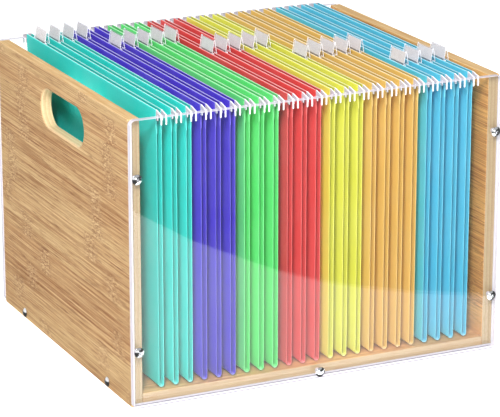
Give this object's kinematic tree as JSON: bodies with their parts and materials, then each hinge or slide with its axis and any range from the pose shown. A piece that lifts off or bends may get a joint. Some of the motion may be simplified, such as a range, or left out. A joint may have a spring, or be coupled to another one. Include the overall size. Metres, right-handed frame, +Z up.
{
  "type": "desktop file sorter",
  "caption": "Open-topped desktop file box with bamboo sides and bottom, clear front and back rails, hand holes and coloured hanging folders with blank index tabs.",
  "frame": {"origin": "middle of the footprint, on the surface that the box stands on", "axes": "+X along the row of folders from the teal to the blue end, -Y towards the front clear panel, +Z up"},
  "size_m": [0.3606, 0.3214, 0.272],
  "materials": {
    "bamboo": "satin clear lacquer over side-pressed bamboo strips",
    "clear_plastic": "polished clear acrylic with pale edges",
    "chrome": "polished",
    "teal_card": "smooth matt card",
    "purple_card": "smooth matt card",
    "green_card": "smooth matt card",
    "red_card": "smooth matt card",
    "yellow_card": "smooth matt card",
    "orange_card": "smooth matt card",
    "blue_card": "smooth matt card"
  },
  "bodies": {
    "box": {"left_side_panel": "bamboo", "right_side_panel": "bamboo", "bottom_panel": "bamboo", "front_clear_panel": "clear_plastic", "back_clear_panel": "clear_plastic", "front_panel_screws": "chrome", "back_panel_screws": "chrome", "left_side_screws": "chrome", "right_side_screws": "chrome"},
    "teal_folder_1_left_leaf": {"teal_folder_1_left_leaf": "teal_card"},
    "teal_folder_1_right_leaf": {"teal_folder_1_right_leaf": "teal_card"},
    "teal_folder_2_left_leaf": {"teal_folder_2_left_leaf": "teal_card"},
    "teal_folder_2_right_leaf": {"teal_folder_2_right_leaf": "teal_card"},
    "teal_folder_3_left_leaf": {"teal_folder_3_left_leaf": "teal_card"},
    "teal_folder_3_right_leaf": {"teal_folder_3_right_leaf": "teal_card"},
    "purple_folder_1_left_leaf": {"purple_folder_1_left_leaf": "purple_card"},
    "purple_folder_1_right_leaf": {"purple_folder_1_right_leaf": "purple_card"},
    "purple_folder_2_left_leaf": {"purple_folder_2_left_leaf": "purple_card"},
    "purple_folder_2_right_leaf": {"purple_folder_2_right_leaf": "purple_card"},
    "purple_folder_3_left_leaf": {"purple_folder_3_left_leaf": "purple_card"},
    "purple_folder_3_right_leaf": {"purple_folder_3_right_leaf": "purple_card"},
    "green_folder_1_left_leaf": {"green_folder_1_left_leaf": "green_card"},
    "green_folder_1_right_leaf": {"green_folder_1_right_leaf": "green_card"},
    "green_folder_2_left_leaf": {"green_folder_2_left_leaf": "green_card"},
    "green_folder_2_right_leaf": {"green_folder_2_right_leaf": "green_card"},
    "green_folder_3_left_leaf": {"green_folder_3_left_leaf": "green_card"},
    "green_folder_3_right_leaf": {"green_folder_3_right_leaf": "green_card"},
    "red_folder_1_left_leaf": {"red_folder_1_left_leaf": "red_card"},
    "red_folder_1_right_leaf": {"red_folder_1_right_leaf": "red_card"},
    "red_folder_2_left_leaf": {"red_folder_2_left_leaf": "red_card"},
    "red_folder_2_right_leaf": {"red_folder_2_right_leaf": "red_card"},
    "red_folder_3_left_leaf": {"red_folder_3_left_leaf": "red_card"},
    "red_folder_3_right_leaf": {"red_folder_3_right_leaf": "red_card"},
    "yellow_folder_1_left_leaf": {"yellow_folder_1_left_leaf": "yellow_card"},
    "yellow_folder_1_right_leaf": {"yellow_folder_1_right_leaf": "yellow_card"},
    "yellow_folder_2_left_leaf": {"yellow_folder_2_left_leaf": "yellow_card"},
    "yellow_folder_2_right_leaf": {"yellow_folder_2_right_leaf": "yellow_card"},
    "yellow_folder_3_left_leaf": {"yellow_folder_3_left_leaf": "yellow_card"},
    "yellow_folder_3_right_leaf": {"yellow_folder_3_right_leaf": "yellow_card"},
    "orange_folder_1_left_leaf": {"orange_folder_1_left_leaf": "orange_card"},
    "orange_folder_1_right_leaf": {"orange_folder_1_right_leaf": "orange_card"},
    "orange_folder_2_left_leaf": {"orange_folder_2_left_leaf": "orange_card"},
    "orange_folder_2_right_leaf": {"orange_folder_2_right_leaf": "orange_card"},
    "orange_folder_3_left_leaf": {"orange_folder_3_left_leaf": "orange_card"},
    "orange_folder_3_right_leaf": {"orange_folder_3_right_leaf": "orange_card"},
    "orange_folder_4_left_leaf": {"orange_folder_4_left_leaf": "orange_card"},
    "orange_folder_4_right_leaf": {"orange_folder_4_right_leaf": "orange_card"},
    "blue_folder_1_left_leaf": {"blue_folder_1_left_leaf": "blue_card"},
    "blue_folder_1_right_leaf": {"blue_folder_1_right_leaf": "blue_card"},
    "blue_folder_2_left_leaf": {"blue_folder_2_left_leaf": "blue_card"},
    "blue_folder_2_right_leaf": {"blue_folder_2_right_leaf": "blue_card"},
    "blue_folder_3_left_leaf": {"blue_folder_3_left_leaf": "blue_card"},
    "blue_folder_3_right_leaf": {"blue_folder_3_right_leaf": "blue_card"},
    "blue_folder_4_left_leaf": {"blue_folder_4_left_leaf": "blue_card"},
    "blue_folder_4_right_leaf": {"blue_folder_4_right_leaf": "blue_card"}
  },
  "joints": [
    {"name": "teal_folder_1_lift", "type": "slide", "parent": "box", "child": "teal_folder_1_left_leaf", "axis": [0, 0, 1], "range_m": [0, 0.25]},
    {"name": "teal_folder_1_open", "type": "hinge", "parent": "teal_folder_1_left_leaf", "child": "teal_folder_1_right_leaf", "pos_m": [-0.14805, 0, 0.013], "axis": [0, 1, 0], "range_deg": [0, 1.6]},
    {"name": "teal_folder_2_lift", "type": "slide", "parent": "box", "child": "teal_folder_2_left_leaf", "axis": [0, 0, 1], "range_m": [0, 0.25]},
    {"name": "teal_folder_2_open", "type": "hinge", "parent": "teal_folder_2_left_leaf", "child": "teal_folder_2_right_leaf", "pos_m": [-0.1345, 0, 0.013], "axis": [0, 1, 0], "range_deg": [0, 1.6]},
    {"name": "teal_folder_3_lift", "type": "slide", "parent": "box", "child": "teal_folder_3_left_leaf", "axis": [0, 0, 1], "range_m": [0, 0.25]},
    {"name": "teal_folder_3_open", "type": "hinge", "parent": "teal_folder_3_left_leaf", "child": "teal_folder_3_right_leaf", "pos_m": [-0.12095, 0, 0.013], "axis": [0, 1, 0], "range_deg": [0, 1.6]},
    {"name": "purple_folder_1_lift", "type": "slide", "parent": "box", "child": "purple_folder_1_left_leaf", "axis": [0, 0, 1], "range_m": [0, 0.25]},
    {"name": "purple_folder_1_open", "type": "hinge", "parent": "purple_folder_1_left_leaf", "child": "purple_folder_1_right_leaf", "pos_m": [-0.1074, 0, 0.013], "axis": [0, 1, 0], "range_deg": [0, 1.6]},
    {"name": "purple_folder_2_lift", "type": "slide", "parent": "box", "child": "purple_folder_2_left_leaf", "axis": [0, 0, 1], "range_m": [0, 0.25]},
    {"name": "purple_folder_2_open", "type": "hinge", "parent": "purple_folder_2_left_leaf", "child": "purple_folder_2_right_leaf", "pos_m": [-0.09385, 0, 0.013], "axis": [0, 1, 0], "range_deg": [0, 1.6]},
    {"name": "purple_folder_3_lift", "type": "slide", "parent": "box", "child": "purple_folder_3_left_leaf", "axis": [0, 0, 1], "range_m": [0, 0.25]},
    {"name": "purple_folder_3_open", "type": "hinge", "parent": "purple_folder_3_left_leaf", "child": "purple_folder_3_right_leaf", "pos_m": [-0.0803, 0, 0.013], "axis": [0, 1, 0], "range_deg": [0, 1.6]},
    {"name": "green_folder_1_lift", "type": "slide", "parent": "box", "child": "green_folder_1_left_leaf", "axis": [0, 0, 1], "range_m": [0, 0.25]},
    {"name": "green_folder_1_open", "type": "hinge", "parent": "green_folder_1_left_leaf", "child": "green_folder_1_right_leaf", "pos_m": [-0.06675, 0, 0.013], "axis": [0, 1, 0], "range_deg": [0, 1.6]},
    {"name": "green_folder_2_lift", "type": "slide", "parent": "box", "child": "green_folder_2_left_leaf", "axis": [0, 0, 1], "range_m": [0, 0.25]},
    {"name": "green_folder_2_open", "type": "hinge", "parent": "green_folder_2_left_leaf", "child": "green_folder_2_right_leaf", "pos_m": [-0.0532, 0, 0.013], "axis": [0, 1, 0], "range_deg": [0, 1.6]},
    {"name": "green_folder_3_lift", "type": "slide", "parent": "box", "child": "green_folder_3_left_leaf", "axis": [0, 0, 1], "range_m": [0, 0.25]},
    {"name": "green_folder_3_open", "type": "hinge", "parent": "green_folder_3_left_leaf", "child": "green_folder_3_right_leaf", "pos_m": [-0.03965, 0, 0.013], "axis": [0, 1, 0], "range_deg": [0, 1.6]},
    {"name": "red_folder_1_lift", "type": "slide", "parent": "box", "child": "red_folder_1_left_leaf", "axis": [0, 0, 1], "range_m": [0, 0.25]},
    {"name": "red_folder_1_open", "type": "hinge", "parent": "red_folder_1_left_leaf", "child": "red_folder_1_right_leaf", "pos_m": [-0.0261, 0, 0.013], "axis": [0, 1, 0], "range_deg": [0, 1.6]},
    {"name": "red_folder_2_lift", "type": "slide", "parent": "box", "child": "red_folder_2_left_leaf", "axis": [0, 0, 1], "range_m": [0, 0.25]},
    {"name": "red_folder_2_open", "type": "hinge", "parent": "red_folder_2_left_leaf", "child": "red_folder_2_right_leaf", "pos_m": [-0.01255, 0, 0.013], "axis": [0, 1, 0], "range_deg": [0, 1.6]},
    {"name": "red_folder_3_lift", "type": "slide", "parent": "box", "child": "red_folder_3_left_leaf", "axis": [0, 0, 1], "range_m": [0, 0.25]},
    {"name": "red_folder_3_open", "type": "hinge", "parent": "red_folder_3_left_leaf", "child": "red_folder_3_right_leaf", "pos_m": [0.001, 0, 0.013], "axis": [0, 1, 0], "range_deg": [0, 1.6]},
    {"name": "yellow_folder_1_lift", "type": "slide", "parent": "box", "child": "yellow_folder_1_left_leaf", "axis": [0, 0, 1], "range_m": [0, 0.25]},
    {"name": "yellow_folder_1_open", "type": "hinge", "parent": "yellow_folder_1_left_leaf", "child": "yellow_folder_1_right_leaf", "pos_m": [0.01455, 0, 0.013], "axis": [0, 1, 0], "range_deg": [0, 1.6]},
    {"name": "yellow_folder_2_lift", "type": "slide", "parent": "box", "child": "yellow_folder_2_left_leaf", "axis": [0, 0, 1], "range_m": [0, 0.25]},
    {"name": "yellow_folder_2_open", "type": "hinge", "parent": "yellow_folder_2_left_leaf", "child": "yellow_folder_2_right_leaf", "pos_m": [0.0281, 0, 0.013], "axis": [0, 1, 0], "range_deg": [0, 1.6]},
    {"name": "yellow_folder_3_lift", "type": "slide", "parent": "box", "child": "yellow_folder_3_left_leaf", "axis": [0, 0, 1], "range_m": [0, 0.25]},
    {"name": "yellow_folder_3_open", "type": "hinge", "parent": "yellow_folder_3_left_leaf", "child": "yellow_folder_3_right_leaf", "pos_m": [0.04165, 0, 0.013], "axis": [0, 1, 0], "range_deg": [0, 1.6]},
    {"name": "orange_folder_1_lift", "type": "slide", "parent": "box", "child": "orange_folder_1_left_leaf", "axis": [0, 0, 1], "range_m": [0, 0.25]},
    {"name": "orange_folder_1_open", "type": "hinge", "parent": "orange_folder_1_left_leaf", "child": "orange_folder_1_right_leaf", "pos_m": [0.0552, 0, 0.013], "axis": [0, 1, 0], "range_deg": [0, 1.6]},
    {"name": "orange_folder_2_lift", "type": "slide", "parent": "box", "child": "orange_folder_2_left_leaf", "axis": [0, 0, 1], "range_m": [0, 0.25]},
    {"name": "orange_folder_2_open", "type": "hinge", "parent": "orange_folder_2_left_leaf", "child": "orange_folder_2_right_leaf", "pos_m": [0.06875, 0, 0.013], "axis": [0, 1, 0], "range_deg": [0, 1.6]},
    {"name": "orange_folder_3_lift", "type": "slide", "parent": "box", "child": "orange_folder_3_left_leaf", "axis": [0, 0, 1], "range_m": [0, 0.25]},
    {"name": "orange_folder_3_open", "type": "hinge", "parent": "orange_folder_3_left_leaf", "child": "orange_folder_3_right_leaf", "pos_m": [0.0823, 0, 0.013], "axis": [0, 1, 0], "range_deg": [0, 1.6]},
    {"name": "orange_folder_4_lift", "type": "slide", "parent": "box", "child": "orange_folder_4_left_leaf", "axis": [0, 0, 1], "range_m": [0, 0.25]},
    {"name": "orange_folder_4_open", "type": "hinge", "parent": "orange_folder_4_left_leaf", "child": "orange_folder_4_right_leaf", "pos_m": [0.09585, 0, 0.013], "axis": [0, 1, 0], "range_deg": [0, 1.6]},
    {"name": "blue_folder_1_lift", "type": "slide", "parent": "box", "child": "blue_folder_1_left_leaf", "axis": [0, 0, 1], "range_m": [0, 0.25]},
    {"name": "blue_folder_1_open", "type": "hinge", "parent": "blue_folder_1_left_leaf", "child": "blue_folder_1_right_leaf", "pos_m": [0.1094, 0, 0.013], "axis": [0, 1, 0], "range_deg": [0, 1.6]},
    {"name": "blue_folder_2_lift", "type": "slide", "parent": "box", "child": "blue_folder_2_left_leaf", "axis": [0, 0, 1], "range_m": [0, 0.25]},
    {"name": "blue_folder_2_open", "type": "hinge", "parent": "blue_folder_2_left_leaf", "child": "blue_folder_2_right_leaf", "pos_m": [0.12295, 0, 0.013], "axis": [0, 1, 0], "range_deg": [0, 1.6]},
    {"name": "blue_folder_3_lift", "type": "slide", "parent": "box", "child": "blue_folder_3_left_leaf", "axis": [0, 0, 1], "range_m": [0, 0.25]},
    {"name": "blue_folder_3_open", "type": "hinge", "parent": "blue_folder_3_left_leaf", "child": "blue_folder_3_right_leaf", "pos_m": [0.1365, 0, 0.013], "axis": [0, 1, 0], "range_deg": [0, 1.6]},
    {"name": "blue_folder_4_lift", "type": "slide", "parent": "box", "child": "blue_folder_4_left_leaf", "axis": [0, 0, 1], "range_m": [0, 0.25]},
    {"name": "blue_folder_4_open", "type": "hinge", "parent": "blue_folder_4_left_leaf", "child": "blue_folder_4_right_leaf", "pos_m": [0.15005, 0, 0.013], "axis": [0, 1, 0], "range_deg": [0, 1.6]}
  ]
}
